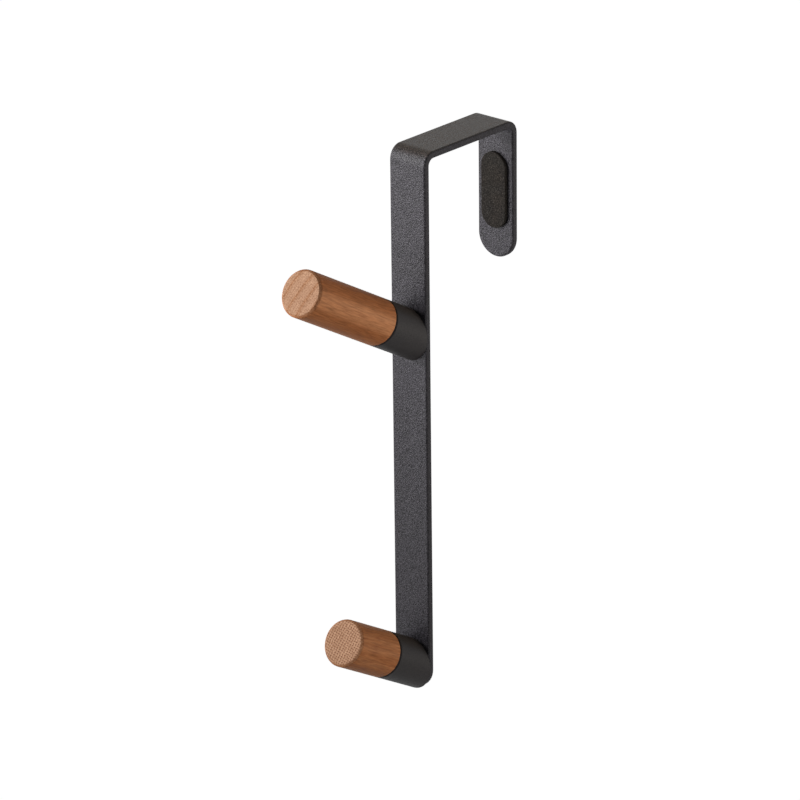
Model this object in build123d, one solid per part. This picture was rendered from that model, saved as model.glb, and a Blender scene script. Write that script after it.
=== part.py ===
from build123d import *
import os
from math import cos, radians, sin, tan

# Over-door hook: a folded steel strap with two tilted steel collars, each carrying a hardwood peg.
# Millimetres and degrees. The origin is the middle of the face that rests on the top of the door.
# +Z is up, the pegs point towards -Y and the short tab hangs behind the door at +Y.

# Driving dimensions of the folded strap
strap_width = 18.0
plate_thickness = 3.0
plate_edge_rounding = 0.8
bend_inner_radius = 2.7
door_gap = 50.0
strap_length = 228.5
tab_length = 59.0

# Driving dimensions of the pegs and their collars
peg_tilt = 29.5
peg_diameter = 19.2
upper_peg_drop = 73.0
lower_foot_overhang = 0.55
upper_wood_length = 50.0
lower_wood_length = 26.3
wood_edge_chamfer = 0.6
wood_tip_chamfer = 0.9
collar_length = 21.2
collar_wall = 2.0
collar_rim_chamfer = 0.6
spigot_end_gap = 2.5
spigot_clearance = 0.1

# Driving dimensions of the pads that keep the steel off the door
pad_width = 12.4
pad_length = 31.7
pad_thickness = 1.5
pad_edge_chamfer = 0.4
upper_pad_rise = 1.8
lower_pad_lift = 30.0

# Places that follow from the driving dimensions
inner_face_y = door_gap / 2
front_face_y = -(inner_face_y + plate_thickness)
back_face_y = inner_face_y + plate_thickness
strap_end_z = plate_thickness - strap_length
tab_end_z = plate_thickness - tab_length
end_radius = strap_width / 2
peg_radius = peg_diameter / 2
bore_radius = peg_radius - collar_wall
foot_half_height = peg_radius / cos(radians(peg_tilt))
upper_peg_z = -upper_peg_drop
lower_peg_z = strap_end_z + foot_half_height - lower_foot_overhang
tab_flat_middle_z = (tab_end_z - bend_inner_radius) / 2
upper_pad_z = tab_flat_middle_z + upper_pad_rise
lower_pad_z = strap_end_z + lower_pad_lift


def round_end_waste(leg_y, end_z):
    """The two corners that are cut away to leave a full round at the end of one leg."""
    corner_z = end_z + end_radius / 2
    corners = Pos(0, leg_y, corner_z) * Box(strap_width, plate_thickness, end_radius)
    disc = Rot(X=90) * Cylinder(end_radius, plate_thickness)
    return corners - Pos(0, leg_y, end_z + end_radius) * disc


def folded_strap():
    """One strip of plate: long leg in front, bridge over the door, short tab behind, both ends round."""
    inner_line = FilletPolyline(
        (-inner_face_y, strap_end_z),
        (-inner_face_y, 0),
        (inner_face_y, 0),
        (inner_face_y, tab_end_z),
        radius=bend_inner_radius,
    )
    outer_line = FilletPolyline(
        (front_face_y, strap_end_z),
        (front_face_y, plate_thickness),
        (back_face_y, plate_thickness),
        (back_face_y, tab_end_z),
        radius=bend_inner_radius + plate_thickness,
    )
    strap_end_line = Line(inner_line @ 0, outer_line @ 0)
    tab_end_line = Line(inner_line @ 1, outer_line @ 1)
    section = make_face([inner_line, outer_line, strap_end_line, tab_end_line])
    strip = extrude(Plane.YZ * section, strap_width / 2, both=True)
    strip -= round_end_waste((front_face_y - inner_face_y) / 2, strap_end_z)
    strip -= round_end_waste((back_face_y + inner_face_y) / 2, tab_end_z)

    # The lines across the strip and the smooth seams beside the round ends stay as they are.
    along = strip.edges().filter_by(Axis.X, reverse=True)
    seams = along.filter_by(Axis.Y).filter_by(lambda edge: edge.center().Z < -bend_inner_radius)
    return fillet(along - seams, plate_edge_rounding)


def peg_frame(axis_z):
    """Plane on the strap's front face whose normal is a peg's axis, rising towards the room."""
    tilt = radians(peg_tilt)
    return Plane(
        origin=(0, front_face_y, axis_z),
        x_dir=(1, 0, 0),
        z_dir=(0, -cos(tilt), sin(tilt)),
    )


def collar(axis_z):
    """Tube stub with a square rim and a foot cut on the slant, so that it sits flat on the strap."""
    foot_depth = peg_diameter * tan(radians(peg_tilt))
    ring = Circle(peg_radius) - Circle(bore_radius)
    tube = Pos(0, 0, -foot_depth) * extrude(ring, foot_depth + collar_length)
    rim_edges = tube.edges().filter_by(GeomType.CIRCLE).group_by(Axis.Z)[-1]
    tube = peg_frame(axis_z) * chamfer(rim_edges, collar_rim_chamfer)
    room_side = Plane(origin=(0, front_face_y, 0), z_dir=(0, -1, 0))
    return split(tube, bisect_by=room_side, keep=Keep.TOP)


def peg(axis_z, wood_length):
    """Turned peg: a full-size body whose shoulder meets the collar's rim, and a spigot down its bore."""
    upwards = (Align.CENTER, Align.CENTER, Align.MIN)
    body = Pos(0, 0, collar_length) * Cylinder(peg_radius, wood_length, align=upwards)
    tip = body.edges().filter_by(GeomType.CIRCLE).group_by(Axis.Z)[-1]
    body = chamfer(tip, wood_tip_chamfer)
    shoulder = body.edges().filter_by(GeomType.CIRCLE).group_by(Axis.Z)[0]
    body = chamfer(shoulder, wood_edge_chamfer)
    spigot_radius = bore_radius - spigot_clearance
    spigot_start = bore_radius * tan(radians(peg_tilt)) + spigot_end_gap
    spigot_length = collar_length - spigot_start
    spigot = Pos(0, 0, spigot_start) * Cylinder(spigot_radius, spigot_length, align=upwards)
    lead_in = spigot.edges().filter_by(GeomType.CIRCLE).group_by(Axis.Z)[0]
    spigot = chamfer(lead_in, wood_edge_chamfer)
    return peg_frame(axis_z) * (body + spigot)


def pad(face_y, outward, centre_z):
    """Stadium-shaped pad stuck to an inner face of the strap, long way up, with eased outer edges."""
    face = Plane(origin=(0, face_y, centre_z), x_dir=(0, 0, 1), z_dir=(0, outward, 0))
    blank = extrude(SlotOverall(pad_length, pad_width), pad_thickness)
    outer_edges = blank.edges().group_by(Axis.Z)[-1]
    return face * chamfer(outer_edges, pad_edge_chamfer)


pieces = {
    "hook_strap": folded_strap(),
    "upper_collar": collar(upper_peg_z),
    "lower_collar": collar(lower_peg_z),
    "upper_peg": peg(upper_peg_z, upper_wood_length),
    "lower_peg": peg(lower_peg_z, lower_wood_length),
    "tab_pad": pad(inner_face_y, -1, upper_pad_z),
    "strap_upper_pad": pad(-inner_face_y, 1, upper_pad_z),
    "strap_lower_pad": pad(-inner_face_y, 1, lower_pad_z),
}

os.makedirs("parts", exist_ok=True)
for name, piece in pieces.items():
    export_step(piece, f"parts/{name}.step")
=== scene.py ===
"""Looks of the over-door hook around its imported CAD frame: coat, pegs, pads, stage, lamps and camera."""
import math

import bmesh
import bpy
from mathutils import Matrix, Vector, noise


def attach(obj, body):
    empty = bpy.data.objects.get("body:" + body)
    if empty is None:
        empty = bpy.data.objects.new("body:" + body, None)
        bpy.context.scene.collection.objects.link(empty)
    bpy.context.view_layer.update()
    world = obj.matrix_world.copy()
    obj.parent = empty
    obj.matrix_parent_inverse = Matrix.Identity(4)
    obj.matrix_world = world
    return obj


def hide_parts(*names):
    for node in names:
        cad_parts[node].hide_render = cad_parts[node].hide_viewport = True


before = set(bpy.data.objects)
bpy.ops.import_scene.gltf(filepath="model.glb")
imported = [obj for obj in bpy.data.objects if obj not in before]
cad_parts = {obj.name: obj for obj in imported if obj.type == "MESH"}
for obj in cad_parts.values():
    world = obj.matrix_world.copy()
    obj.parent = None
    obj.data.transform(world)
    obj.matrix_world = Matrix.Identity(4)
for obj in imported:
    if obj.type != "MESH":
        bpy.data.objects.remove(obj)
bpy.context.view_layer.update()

# Sizes and places that the CAD model has, in metres
INNER_FACE_Y = 0.025
FRONT_FACE_Y = -0.028
PEG_TILT = math.radians(29.5)
PEG_RADIUS = 0.0096
UPPER_PEG_Z = -0.073
LOWER_PEG_Z = -0.21502
UPPER_WOOD_LENGTH = 0.0500
LOWER_WOOD_LENGTH = 0.0263
COLLAR_LENGTH = 0.0212
BORE_RADIUS = 0.0076
SPIGOT_CLEARANCE = 0.0001
SPIGOT_END_GAP = 0.0025
SHOULDER_CHAMFER = 0.0006
TIP_CHAMFER = 0.0009
PAD_WIDTH = 0.0124
PAD_LENGTH = 0.0317
PAD_THICKNESS = 0.0015
UPPER_PADS_Z = -0.02755
LOWER_PAD_Z = -0.1955

# Mesh of the pegs: sanded softening of sharp edges, its steps, longest face and faces round the axis
SANDED_EDGE = 0.00018
SANDED_STEPS = 4
PEG_FACE_LENGTH = 0.0012
PEG_FACES_ROUND = 160

# Mesh of the pads: pressed rim and its steps, steps along a side, round an end and across the face
PAD_RIM = 0.0003
PAD_RIM_STEPS = 4
PAD_SIDE_STEPS = 56
PAD_ARC_STEPS = 48
PAD_FACE_STEPS = 14

# Foam's uneven face: how far it lies inside the CAD solid, and the height and spacing of its lumps
FOAM_SINK = 0.00005
FOAM_LUMP_HEIGHT = 0.00003
FOAM_LUMPS_PER_METRE = 900

# Powder coat: share of sand in its relief, contrast of the painted glints and shade on the sand and relief
# per unit of grain, range of roughness
SAND_SHARE = 0.9
PAINTED_SAND_SHADE = 0.66
PAINTED_SAND_GLINT = 0.68
SAND_RELIEF = 0.28
COAT_ROUGHNESS_RANGE = 0.18
# Painted warm light: tint of the coat on upward-facing faces
PAINTED_TOP_WARM_LIGHT = (0.92, 0.72, 0.46)

# Wood: squeeze of figure and fibres along the grain, wander of rings and of the painted sheen, size of the
# pore grid
FIGURE_SQUEEZE = 0.08
FIBRE_SQUEEZE = 0.09
RING_WANDER = 0.0014
PAINTED_SHEEN_WANDER = 0.0008
PORE_ROW_GAP = 0.0012
PORE_LENGTH = 0.007
SIDE_PORE_STRENGTH = 0.6
PORE_RELIEF = 0.6
LATE_WOOD_TINT = (0.70, 0.51, 0.32, 1)
SIDE_PORE_TONE = (0.20, 0.060, 0.028, 1)
END_PORE_TONE = (0.115, 0.035, 0.016, 1)

# Painted sheen along a peg, a pale band that stands in for a highlight: the side that it is on, the
# distances from the axis where it starts and is full
PAINTED_SHEEN_SIDE = Vector((1, 0, 0))
PAINTED_SHEEN_START = 0.0088
PAINTED_SHEEN_FULL = 0.0100
PAINTED_SHEEN_TONE = (0.48, 0.225, 0.110, 1)

# Foam: share of the cells in its relief
CELL_RELIEF = 0.4

WHITE = (1, 1, 1, 1)


# Shader nodes

def node_adder(tree):
    """Call that adds one node to an emptied tree and gives it its settings, values and links."""
    tree.nodes.clear()

    def add(kind, inputs=None, **settings):
        node = tree.nodes.new("ShaderNode" + kind)
        for key, value in settings.items():
            setattr(node, key, value)
        for key, value in (inputs or {}).items():
            socket = node.inputs[key]
            if isinstance(value, bpy.types.NodeSocket):
                tree.links.new(value, socket)
            else:
                socket.default_value = value
        return node

    return add


def new_material(name):
    """Empty node material, and the call that fills it."""
    material = bpy.data.materials.new(name)
    material.use_nodes = True
    return material, node_adder(material.node_tree)


def ramp(add, factor, stops):
    """Colour ramp with the given (position, colour) stops."""
    node = add("ValToRGB", {"Fac": factor})
    elements = node.color_ramp.elements
    while len(elements) < len(stops):
        elements.new(0.5)
    for element, (position, colour) in zip(elements, stops):
        element.position = position
        element.color = (*colour, 1.0)
    return node.outputs["Color"]


def grey(value):
    return (value, value, value)


def maths(add, operation, a, b=None, clamp=False):
    inputs = {0: a}
    if b is not None:
        inputs[1] = b
    return add("Math", inputs, operation=operation, use_clamp=clamp).outputs[0]


def vector_maths(add, operation, a, b, output="Value"):
    return add("VectorMath", {0: a, 1: b}, operation=operation).outputs[output]


def mix(add, factor, a, b, blend="MIX"):
    inputs = {"Fac": factor, "Color1": a, "Color2": b}
    return add("MixRGB", inputs, blend_type=blend).outputs["Color"]


def tinted(add, colour, tint):
    return mix(add, 1.0, colour, tint, "MULTIPLY")


def spread(add, factor, low, high, from_low=0.0, from_high=1.0):
    """Maps a factor from one range to another, held at both ends."""
    inputs = {
        "Value": factor,
        "From Min": from_low,
        "From Max": from_high,
        "To Min": low,
        "To Max": high,
    }
    return add("MapRange", inputs).outputs["Result"]


def noise_field(add, place, scale, detail, roughness=0.5):
    inputs = {"Vector": place, "Scale": scale, "Detail": detail, "Roughness": roughness}
    return add("TexNoise", inputs).outputs["Fac"]


def cell_field(add, place, scale, randomness, dimensions="3D"):
    """Distance to the nearest of scattered points."""
    inputs = {"Vector": place, "Scale": scale, "Randomness": randomness}
    return add("TexVoronoi", inputs, voronoi_dimensions=dimensions).outputs["Distance"]


def surface(add, colour, roughness, specular, height, relief, depth):
    """Principled surface with fine relief, joined to the material's output."""
    bump = add("Bump", {"Height": height, "Strength": relief, "Distance": depth})
    shader = add("BsdfPrincipled", {
        "Base Color": colour,
        "Roughness": roughness,
        "Specular IOR Level": specular,
        "Normal": bump.outputs["Normal"],
    })
    add("OutputMaterial", {"Surface": shader.outputs["BSDF"]})


# Materials

def powder_coat(name, grain, tone, specular, smoothest, painted_edge_shade_and_dullness=1.0):
    """Charcoal coat with sand bumps half a millimetre apart, duller on cut edges, with painted glints and
    shade on the sand, painted shade on sideways faces and painted warm light on upward faces.
    """
    material, add = new_material(name)
    coordinates = add("TexCoord")
    place = coordinates.outputs["Object"]
    sand = noise_field(add, place, scale=2150, detail=1.0)
    lumps = noise_field(add, place, scale=520, detail=1.0)
    drift = noise_field(add, place, scale=45, detail=2.0)
    sand_height = maths(add, "MULTIPLY", sand, SAND_SHARE)
    lump_height = maths(add, "MULTIPLY", lumps, 1 - SAND_SHARE)
    height = maths(add, "ADD", sand_height, lump_height)

    facing = add("SeparateXYZ", {0: coordinates.outputs["Normal"]})
    sideways = maths(add, "ABSOLUTE", facing.outputs["X"])
    on_edge = spread(add, sideways, 0.0, 1.0, 0.3, 0.8)
    on_top = spread(add, facing.outputs["Z"], 0.0, 1.0, 0.5, 0.95)

    # Painted glints and shade: sand peaks are coloured lighter and hollows darker, following the bump
    # height
    painted_sand_glint_and_shade = ramp(add, height, [
        (0.30, grey(max(0.0, 1 - PAINTED_SAND_SHADE * grain))),
        (0.50, grey(1.0)),
        (0.68, grey(1 + PAINTED_SAND_GLINT * grain)),
    ])
    # Painted shade: faces turned sideways are darkened by this setting, which also makes them duller
    painted_edge_shade = ramp(add, on_edge, [(0.0, grey(1.0)), (1.0, grey(painted_edge_shade_and_dullness))])
    cast = ramp(add, drift, [(0.3, (0.97, 0.96, 0.97)), (0.7, (1.03, 1.02, 1.04))])
    # Painted warm light: upward faces tinted warm
    painted_top_warm_light = ramp(add, on_top, [(0.0, grey(1.0)), (1.0, PAINTED_TOP_WARM_LIGHT)])
    colour = tinted(add, tone, painted_sand_glint_and_shade)
    colour = tinted(add, colour, painted_edge_shade)
    colour = tinted(add, colour, cast)
    colour = tinted(add, colour, painted_top_warm_light)

    roughness = spread(add, sand, smoothest, smoothest + COAT_ROUGHNESS_RANGE, 0.3, 0.7)
    edge_roughness = maths(add, "MULTIPLY", on_edge, 1 - painted_edge_shade_and_dullness)
    roughness = maths(add, "ADD", roughness, edge_roughness, clamp=True)
    surface(add, colour, roughness, specular, height, relief=SAND_RELIEF * grain, depth=0.0006)
    return material


def hardwood(
    name,
    peg_frame,
    side_tone,
    end_tone,
    ring_gap,
    ring_turn,
    pith_distance,
    side_lines,
    end_lines,
    pore_step,
    pore_depth,
    painted_sheen_strength,
    shift,
):
    """Oiled hardwood in a peg's own frame: rings round a far pith, pores in rows, fibres along it."""
    material, add = new_material(name)
    coordinates = add("TexCoord")
    to_peg = {
        "Vector": coordinates.outputs["Object"],
        "Location": peg_frame.translation,
        "Rotation": peg_frame.to_euler(),
    }
    place = add("Mapping", to_peg, vector_type="TEXTURE").outputs["Vector"]
    shifted = add("Mapping", {"Vector": place, "Location": shift}).outputs["Vector"]
    figure_scale = (1, 1, FIGURE_SQUEEZE)
    figure = add("Mapping", {"Vector": shifted, "Scale": figure_scale}).outputs["Vector"]
    fibre_scale = (1, 1, FIBRE_SQUEEZE)
    thread = add("Mapping", {"Vector": shifted, "Scale": fibre_scale}).outputs["Vector"]
    waver = noise_field(add, figure, scale=160, detail=2.0)
    cloud = noise_field(add, figure, scale=260, detail=3.0, roughness=0.6)
    fibre = noise_field(add, thread, scale=1700, detail=2.0, roughness=0.6)

    # 1 on the cut ends, 0 on the turned side
    peg_axis = peg_frame.col[2].to_3d()
    facing = vector_maths(add, "DOT_PRODUCT", coordinates.outputs["Normal"], peg_axis)
    on_end = spread(add, maths(add, "ABSOLUTE", facing), 0.0, 1.0, 0.60, 0.92)

    # Growth rings: late wood darkens to the end of a year and fades early in the next
    to_pith = Vector((math.cos(ring_turn), math.sin(ring_turn), 0))
    along_ring = Vector((-to_pith.y, to_pith.x, 0))
    section = vector_maths(add, "MULTIPLY", place, (1, 1, 0), "Vector")
    reach = vector_maths(add, "DISTANCE", section, pith_distance * to_pith)
    reach = maths(add, "ADD", reach, maths(add, "MULTIPLY", waver, RING_WANDER))
    year = maths(add, "FRACT", maths(add, "DIVIDE", reach, ring_gap))
    late_wood = ramp(add, year, [
        (0.0, grey(0.6)),
        (0.10, grey(0.1)),
        (0.60, grey(0.0)),
        (0.80, grey(0.35)),
        (0.93, grey(1.0)),
        (1.0, grey(0.6)),
    ])

    # Pores: rows of dots along the rings on the ends, short dashes on the side
    around = vector_maths(add, "DOT_PRODUCT", place, along_ring)
    axial = add("SeparateXYZ", {0: place}).outputs["Z"]
    pore_grid = add("CombineXYZ", {
        "X": maths(add, "DIVIDE", reach, min(ring_gap, PORE_ROW_GAP)),
        "Y": maths(add, "DIVIDE", around, pore_step),
        "Z": maths(add, "DIVIDE", axial, PORE_LENGTH),
    }).outputs["Vector"]
    dashes = cell_field(add, pore_grid, scale=1.0, randomness=0.8)
    dots = cell_field(add, pore_grid, scale=1.0, randomness=0.2, dimensions="2D")
    side_pore = spread(add, dashes, 1.0, 0.0, 0.10, 0.30)
    side_pore = maths(add, "MULTIPLY", side_pore, SIDE_PORE_STRENGTH)
    end_pore = spread(add, dots, 1.0, 0.0, 0.10, 0.40)
    pore = mix(add, on_end, side_pore, end_pore)

    # Ground colours, with a painted sheen: a pale highlight band along one side
    side_colour = ramp(add, cloud, [
        (0.25, (0.245, 0.086, 0.032)),
        (0.50, (0.296, 0.112, 0.044)),
        (0.75, (0.350, 0.142, 0.060)),
    ])
    end_colour = ramp(add, cloud, [
        (0.25, (0.292, 0.163, 0.097)),
        (0.50, (0.326, 0.186, 0.114)),
        (0.75, (0.355, 0.207, 0.128)),
    ])
    pale = vector_maths(add, "DOT_PRODUCT", section, PAINTED_SHEEN_SIDE)
    pale = maths(add, "ADD", pale, maths(add, "MULTIPLY", waver, PAINTED_SHEEN_WANDER))
    pale = spread(add, pale, 0.0, painted_sheen_strength, PAINTED_SHEEN_START, PAINTED_SHEEN_FULL)
    side_colour = mix(add, pale, side_colour, PAINTED_SHEEN_TONE)
    side_colour = tinted(add, side_colour, side_tone)
    end_colour = tinted(add, end_colour, end_tone)
    wood = mix(add, on_end, side_colour, end_colour)

    # Ring lines, fibres and pores over the ground colours
    broken_line = maths(add, "MULTIPLY", late_wood, spread(add, fibre, 1.0, 0.5, 0.35, 0.65))
    line_shade = mix(add, broken_line, WHITE, LATE_WOOD_TINT)
    line_share = spread(add, on_end, side_lines, end_lines)
    wood = mix(add, line_share, wood, tinted(add, wood, line_shade))
    side_fibre = ramp(add, fibre, [
        (0.28, grey(0.69)),
        (0.50, grey(1.0)),
        (0.72, grey(1.25)),
    ])
    end_fibre = ramp(add, fibre, [
        (0.28, (0.60, 0.51, 0.41)),
        (0.50, grey(1.0)),
        (0.72, (1.28, 1.32, 1.37)),
    ])
    wood = tinted(add, wood, mix(add, on_end, side_fibre, end_fibre))
    pore_tone = mix(add, on_end, SIDE_PORE_TONE, END_PORE_TONE)
    wood = mix(add, maths(add, "MULTIPLY", pore, pore_depth), wood, pore_tone)

    roughness = spread(add, fibre, 0.42, 0.58, 0.3, 0.7)
    height = maths(add, "SUBTRACT", fibre, maths(add, "MULTIPLY", pore, PORE_RELIEF))
    surface(add, wood, roughness, specular=0.03, height=height, relief=0.25, depth=0.00012)
    return material


def closed_cell_foam(name):
    """Dark die-cut foam: fine open cells at the cut face with scattered pale flecks."""
    material, add = new_material(name)
    place = add("TexCoord").outputs["Object"]
    cells = cell_field(add, place, scale=1900, randomness=1.0)
    grit = noise_field(add, place, scale=2300, detail=2.0, roughness=0.6)
    drift = noise_field(add, place, scale=160, detail=2.0)
    colour = ramp(add, grit, [
        (0.30, (0.0021, 0.0017, 0.0015)),
        (0.50, (0.0133, 0.0115, 0.0100)),
        (0.62, (0.0266, 0.0236, 0.0209)),
        (0.74, (0.0605, 0.0552, 0.0500)),
    ])
    tint = ramp(add, drift, [(0.3, (0.90, 0.92, 0.93)), (0.7, (1.12, 1.06, 1.0))])
    height = maths(add, "SUBTRACT", grit, maths(add, "MULTIPLY", cells, CELL_RELIEF))
    colour = tinted(add, colour, tint)
    surface(add, colour, roughness=0.9, specular=0.12, height=height, relief=0.6, depth=0.0003)
    return material


# Meshes

def piece_from(name, mesh_edit, place, material, node):
    """Smooth object from an edited bmesh, at its place in the row frame, attached to the root body, with
    its CAD node hidden.
    """
    mesh = bpy.data.meshes.new(name)
    mesh_edit.to_mesh(mesh)
    mesh_edit.free()
    for face in mesh.polygons:
        face.use_smooth = True
    mesh.materials.append(material)
    piece = bpy.data.objects.new(name, mesh)
    bpy.context.scene.collection.objects.link(piece)
    piece.matrix_world = place
    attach(piece, "root")
    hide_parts(node)
    return piece


def softened(corners, reach):
    """Profile with each inner corner replaced by a curve that starts and ends the given reach away."""
    points = [corners[0]]
    for before, here, after in zip(corners, corners[1:], corners[2:]):
        here = Vector(here)
        start = here + reach * (Vector(before) - here).normalized()
        end = here + reach * (Vector(after) - here).normalized()
        for step in range(SANDED_STEPS + 1):
            share = step / SANDED_STEPS
            bow = start.lerp(here, share).lerp(here.lerp(end, share), share)
            points.append(tuple(bow))
    points.append(corners[-1])
    return points


def divided(profile, longest):
    """Profile with its long straight runs divided, so that faces stay near square."""
    points = [profile[0]]
    for here in profile[1:]:
        before = points[-1]
        parts = max(1, math.ceil(math.dist(before, here) / longest))
        for part in range(1, parts + 1):
            share = part / parts
            points.append((
                before[0] + (here[0] - before[0]) * share,
                before[1] + (here[1] - before[1]) * share,
            ))
    return points


def join_rings(mesh_edit, rings):
    """Quads between each ring of points and the next."""
    count = len(rings[0])
    for below, above in zip(rings, rings[1:]):
        for step in range(count):
            after = (step + 1) % count
            mesh_edit.faces.new((below[step], below[after], above[after], above[step]))


def lathe(profile, segments):
    """Closed turned solid from a profile (radius, z) that starts and ends on the axis."""
    mesh_edit = bmesh.new()
    turns = [2 * math.pi * step / segments for step in range(segments)]
    rings = []
    for radius, z in profile[1:-1]:
        places = [(radius * math.cos(turn), radius * math.sin(turn), z) for turn in turns]
        rings.append([mesh_edit.verts.new(place) for place in places])
    first = mesh_edit.verts.new((0, 0, profile[0][1]))
    last = mesh_edit.verts.new((0, 0, profile[-1][1]))
    for step in range(segments):
        after = (step + 1) % segments
        mesh_edit.faces.new((first, rings[0][after], rings[0][step]))
        mesh_edit.faces.new((last, rings[-1][step], rings[-1][after]))
    join_rings(mesh_edit, rings)
    return mesh_edit


def peg_frame_at(axis_z):
    """Frame on the strap's front face with +Z along the peg, rising towards the room."""
    out = Vector((0, -math.cos(PEG_TILT), math.sin(PEG_TILT)))
    side = Vector((1, 0, 0))
    peg_frame = Matrix((side, out.cross(side), out)).transposed().to_4x4()
    peg_frame.translation = (0, FRONT_FACE_Y, axis_z)
    return peg_frame


def peg(node, peg_frame, wood_length, material):
    """Turned peg with sanded chamfers, and the spigot that goes down the collar."""
    spigot = BORE_RADIUS - SPIGOT_CLEARANCE
    start = BORE_RADIUS * math.tan(PEG_TILT) + SPIGOT_END_GAP
    tip = COLLAR_LENGTH + wood_length
    corners = [
        (0, start),
        (spigot - SHOULDER_CHAMFER, start),
        (spigot, start + SHOULDER_CHAMFER),
        (spigot, COLLAR_LENGTH),
        (PEG_RADIUS - SHOULDER_CHAMFER, COLLAR_LENGTH),
        (PEG_RADIUS, COLLAR_LENGTH + SHOULDER_CHAMFER),
        (PEG_RADIUS, tip - TIP_CHAMFER),
        (PEG_RADIUS - TIP_CHAMFER, tip),
        (0, tip),
    ]
    profile = divided(softened(corners, SANDED_EDGE), PEG_FACE_LENGTH)
    mesh_edit = lathe(profile, PEG_FACES_ROUND)
    bmesh.ops.transform(mesh_edit, matrix=peg_frame, verts=mesh_edit.verts)
    piece_from(f"{node}_turned", mesh_edit, Matrix.Identity(4), material, node)


def stadium(radius, half_run):
    """Even points (x, y) round a stadium long in y, anticlockwise from the foot of its right side."""
    heights = [half_run * (2 * step / PAD_SIDE_STEPS - 1) for step in range(PAD_SIDE_STEPS)]
    turns = [math.pi * step / PAD_ARC_STEPS for step in range(PAD_ARC_STEPS)]
    half = [(radius, height) for height in heights]
    half += [(radius * math.cos(turn), half_run + radius * math.sin(turn)) for turn in turns]
    return half + [(-x, -y) for x, y in half]


def pad_profile(radius):
    """Points (radius, height) from the foot of a pad over its pressed rim to the middle of its face."""
    wall = [(radius, PAD_THICKNESS * share) for share in (0, 0.25, 0.5, 0.7)]
    rim = []
    for step in range(PAD_RIM_STEPS + 1):
        turn = math.pi / 2 * step / PAD_RIM_STEPS
        rim.append((
            radius - PAD_RIM + PAD_RIM * math.cos(turn),
            PAD_THICKNESS - PAD_RIM + PAD_RIM * math.sin(turn),
        ))
    shares = [1 - step / PAD_FACE_STEPS for step in range(1, PAD_FACE_STEPS)]
    face = [((radius - PAD_RIM) * share, PAD_THICKNESS) for share in shares]
    return wall + rim + face


def pad(node, face_y, outward, centre_z, material, seed):
    """Die-cut stadium pad with a slightly pressed rim and an uneven foam face."""
    radius = PAD_WIDTH / 2
    half_run = (PAD_LENGTH - PAD_WIDTH) / 2
    mesh_edit = bmesh.new()
    rings = []
    for ring_radius, height in pad_profile(radius):
        ring = []
        for x, y in stadium(ring_radius, half_run):
            lift = height
            if height > 0:
                spot = Vector((
                    x * FOAM_LUMPS_PER_METRE + seed,
                    y * FOAM_LUMPS_PER_METRE,
                    height * FOAM_LUMPS_PER_METRE,
                ))
                lift = height - FOAM_SINK + FOAM_LUMP_HEIGHT * noise.noise(spot)
            ring.append(mesh_edit.verts.new((x, y, lift)))
        rings.append(ring)
    join_rings(mesh_edit, rings)
    mesh_edit.faces.new(rings[-1])
    mesh_edit.faces.new(list(reversed(rings[0])))
    out = Vector((0, outward, 0))
    rise = Vector((0, 0, 1))
    place = Matrix((rise.cross(out), rise, out)).transposed().to_4x4()
    place.translation = (0, face_y, centre_z)
    piece = piece_from(f"{node}_foam", mesh_edit, place, material, node)


def paint(node, material):
    """Gives a CAD node its finished material."""
    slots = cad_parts[node].data.materials
    slots.clear()
    slots.append(material)


# Steel

strap_coat = powder_coat(
    "sand_powder_coat",
    grain=1.8,
    tone=(0.0287, 0.0271, 0.0315, 1),
    specular=0.140,
    smoothest=0.28,
    # painted shade and duller roughness on the strap's sideways faces
    painted_edge_shade_and_dullness=0.64,
)
collar_coat = powder_coat(
    "smooth_powder_coat",
    grain=0.4,
    tone=(0.0268, 0.0252, 0.0254, 1),
    specular=0.06,
    smoothest=0.44,
)
paint("hook_strap", strap_coat)
paint("upper_collar", collar_coat)
paint("lower_collar", collar_coat)


# Wood

upper_frame = peg_frame_at(UPPER_PEG_Z)
lower_frame = peg_frame_at(LOWER_PEG_Z)
upper_wood = hardwood(
    "hardwood_wide_rings",
    upper_frame,
    side_tone=(0.90, 0.90, 0.88, 1),
    end_tone=WHITE,
    ring_gap=0.0049,
    ring_turn=math.radians(-21.6),
    pith_distance=0.0714,
    side_lines=0.30,
    end_lines=1.0,
    pore_step=0.0008,
    pore_depth=0.25,
    # painted sheen along the upper peg's +X side
    painted_sheen_strength=0.62,
    shift=(0.0, 0.0, 0.0),
)
lower_wood = hardwood(
    "hardwood_fine_rings",
    lower_frame,
    side_tone=(1.04, 1.12, 1.17, 1),
    end_tone=(1.40, 1.44, 1.48, 1),
    ring_gap=0.0012,
    ring_turn=math.radians(-11),
    pith_distance=0.07,
    side_lines=0.4,
    end_lines=0.80,
    pore_step=0.0010,
    pore_depth=0.85,
    painted_sheen_strength=0.0,
    shift=(0.031, 0.017, 0.2),
)
peg("upper_peg", upper_frame, UPPER_WOOD_LENGTH, upper_wood)
peg("lower_peg", lower_frame, LOWER_WOOD_LENGTH, lower_wood)


# Foam

foam = closed_cell_foam("die_cut_foam")
pad("tab_pad", INNER_FACE_Y, -1, UPPER_PADS_Z, foam, seed=3.0)
pad("strap_upper_pad", -INNER_FACE_Y, 1, UPPER_PADS_Z, foam, seed=11.0)
pad("strap_lower_pad", -INNER_FACE_Y, 1, LOWER_PAD_Z, foam, seed=29.0)


# Stage: pale floor and soft white room, both plain white where they are seen or mirrored

FLOOR_Z = -0.9
FLOOR_SIZE = 30
FLOOR_GLOW = 0.956
ROOM_LIGHT = 0.07


def seen_or_mirrored(add):
    """1 for camera, glossy and transmission rays, else 0."""
    path = add("LightPath")
    seen = maths(add, "MAXIMUM", path.outputs["Is Camera Ray"], path.outputs["Is Glossy Ray"])
    return maths(add, "MAXIMUM", seen, path.outputs["Is Transmission Ray"])


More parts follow.
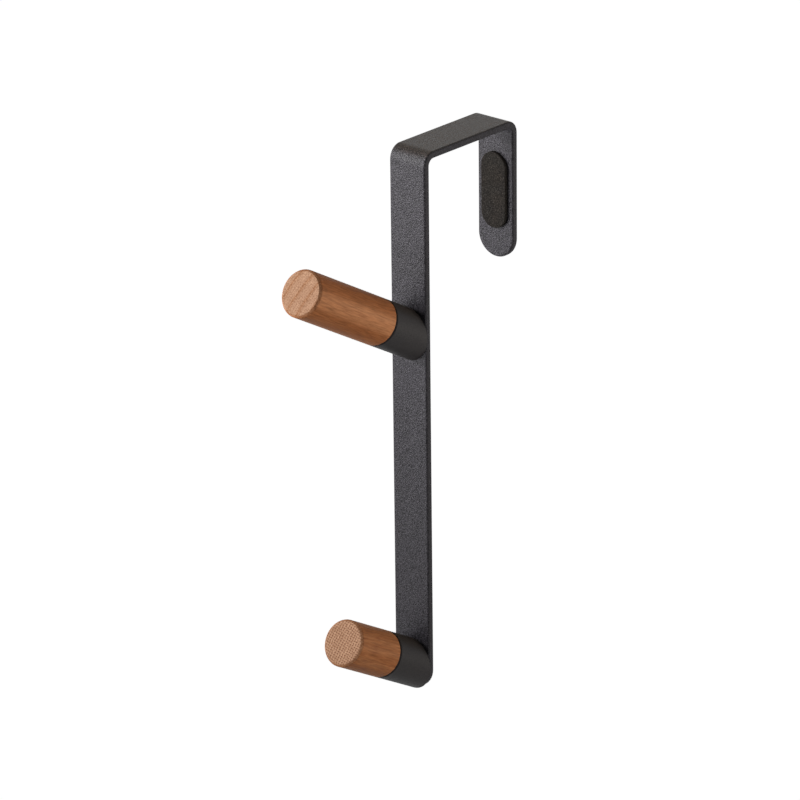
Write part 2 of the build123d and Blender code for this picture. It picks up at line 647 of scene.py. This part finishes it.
bpy.ops.mesh.primitive_plane_add(size=FLOOR_SIZE, location=(0, 0, FLOOR_Z))
floor = bpy.context.object
floor.name = "studio_floor"
floor_paint, add = new_material("white_floor")
floor_base = add("BsdfDiffuse", {"Color": (0.8, 0.8, 0.8, 1)})
glow_level = maths(add, "MULTIPLY", seen_or_mirrored(add), FLOOR_GLOW)
floor_glow = add("Emission", {"Color": WHITE, "Strength": glow_level})
floor_sum = add("AddShader", {0: floor_base.outputs["BSDF"], 1: floor_glow.outputs["Emission"]})
add("OutputMaterial", {"Surface": floor_sum.outputs["Shader"]})
floor.data.materials.append(floor_paint)

world = bpy.data.worlds.new("studio")
world.use_nodes = True
add = node_adder(world.node_tree)
room_level = spread(add, seen_or_mirrored(add), ROOM_LIGHT, 1.0)
room = add("Background", {"Color": WHITE, "Strength": room_level})
add("OutputWorld", {"Surface": room.outputs["Background"]})
bpy.context.scene.world = world


# Lamps

def softbox(name, place, aim, size, watts, colour, spread_degrees, glossy=True):
    """Rectangular soft light that faces its aim."""
    lamp = bpy.data.lights.new(name, "AREA")
    lamp.shape = "RECTANGLE"
    lamp.size, lamp.size_y = size
    lamp.energy = watts
    lamp.color = colour
    lamp.spread = math.radians(spread_degrees)
    holder = bpy.data.objects.new(name, lamp)
    bpy.context.scene.collection.objects.link(holder)
    holder.location = place
    holder.visible_glossy = glossy
    holder.rotation_euler = (Vector(aim) - Vector(place)).to_track_quat("-Z", "Y").to_euler()


softbox(
    "key_light",
    place=(-0.70, -0.93, -0.1),
    aim=(0, -0.03, 0.6),
    size=(1.2, 0.4),
    watts=9.2,
    colour=(1.0, 0.985, 1.0),
    spread_degrees=96,
)
softbox(
    "upper_light",
    place=(-0.74, -0.80, 0.42),
    aim=(0, -0.03, 0.45),
    size=(0.6, 0.25),
    watts=8.0,
    colour=(1.0, 0.99, 0.97),
    spread_degrees=90,
)
softbox(
    "side_light",
    place=(0.86, 0.38, -0.15),
    aim=(0, -0.02, 0.25),
    size=(1.1, 0.6),
    watts=4.4,
    colour=(1.0, 0.95, 0.89),
    spread_degrees=100,
)
softbox(
    "bounce_light",
    place=(0.55, -0.55, -0.85),
    aim=(0, -0.05, 0.2),
    size=(0.8, 0.8),
    watts=0.8,
    colour=(1.0, 0.98, 0.95),
    spread_degrees=120,
    glossy=False,
)


# Camera at the photograph's viewing angle, for an image of 800 by 800 pixels

AZIMUTH = math.radians(41.36)
ELEVATION = math.radians(22.06)
ROLL = math.radians(-0.67)
DISTANCE = 1.91035
FOCAL_PIXELS = 4802.864
IMAGE_WIDTH = 800
SENSOR_WIDTH = 36
AIM = Vector((0, 0, -0.1))
AIM_PIXEL = (455.508, 377.166)

camera_data = bpy.data.cameras.new("camera")
camera_data.sensor_width = SENSOR_WIDTH
camera_data.lens = SENSOR_WIDTH * FOCAL_PIXELS / IMAGE_WIDTH
camera_data.clip_start = 0.1
camera_data.clip_end = 100
camera = bpy.data.objects.new("camera", camera_data)
bpy.context.scene.collection.objects.link(camera)
bpy.context.scene.camera = camera
back = Vector((
    math.sin(AZIMUTH) * math.cos(ELEVATION),
    -math.cos(AZIMUTH) * math.cos(ELEVATION),
    math.sin(ELEVATION),
))
level_right = Vector((math.cos(AZIMUTH), math.sin(AZIMUTH), 0))
level_up = back.cross(level_right)
right = level_right * math.cos(ROLL) + level_up * math.sin(ROLL)
up = level_up * math.cos(ROLL) - level_right * math.sin(ROLL)
slide_right = (AIM_PIXEL[0] - IMAGE_WIDTH / 2) / FOCAL_PIXELS
slide_up = (IMAGE_WIDTH / 2 - AIM_PIXEL[1]) / FOCAL_PIXELS
camera_place = Matrix((right, up, back)).transposed().to_4x4()
camera_place.translation = AIM + DISTANCE * (back - slide_right * right - slide_up * up)
camera.matrix_world = camera_place

bpy.context.scene.view_settings.view_transform = "Standard"


def corners(box):
    return [[float(value) for value in corner] for corner in box]
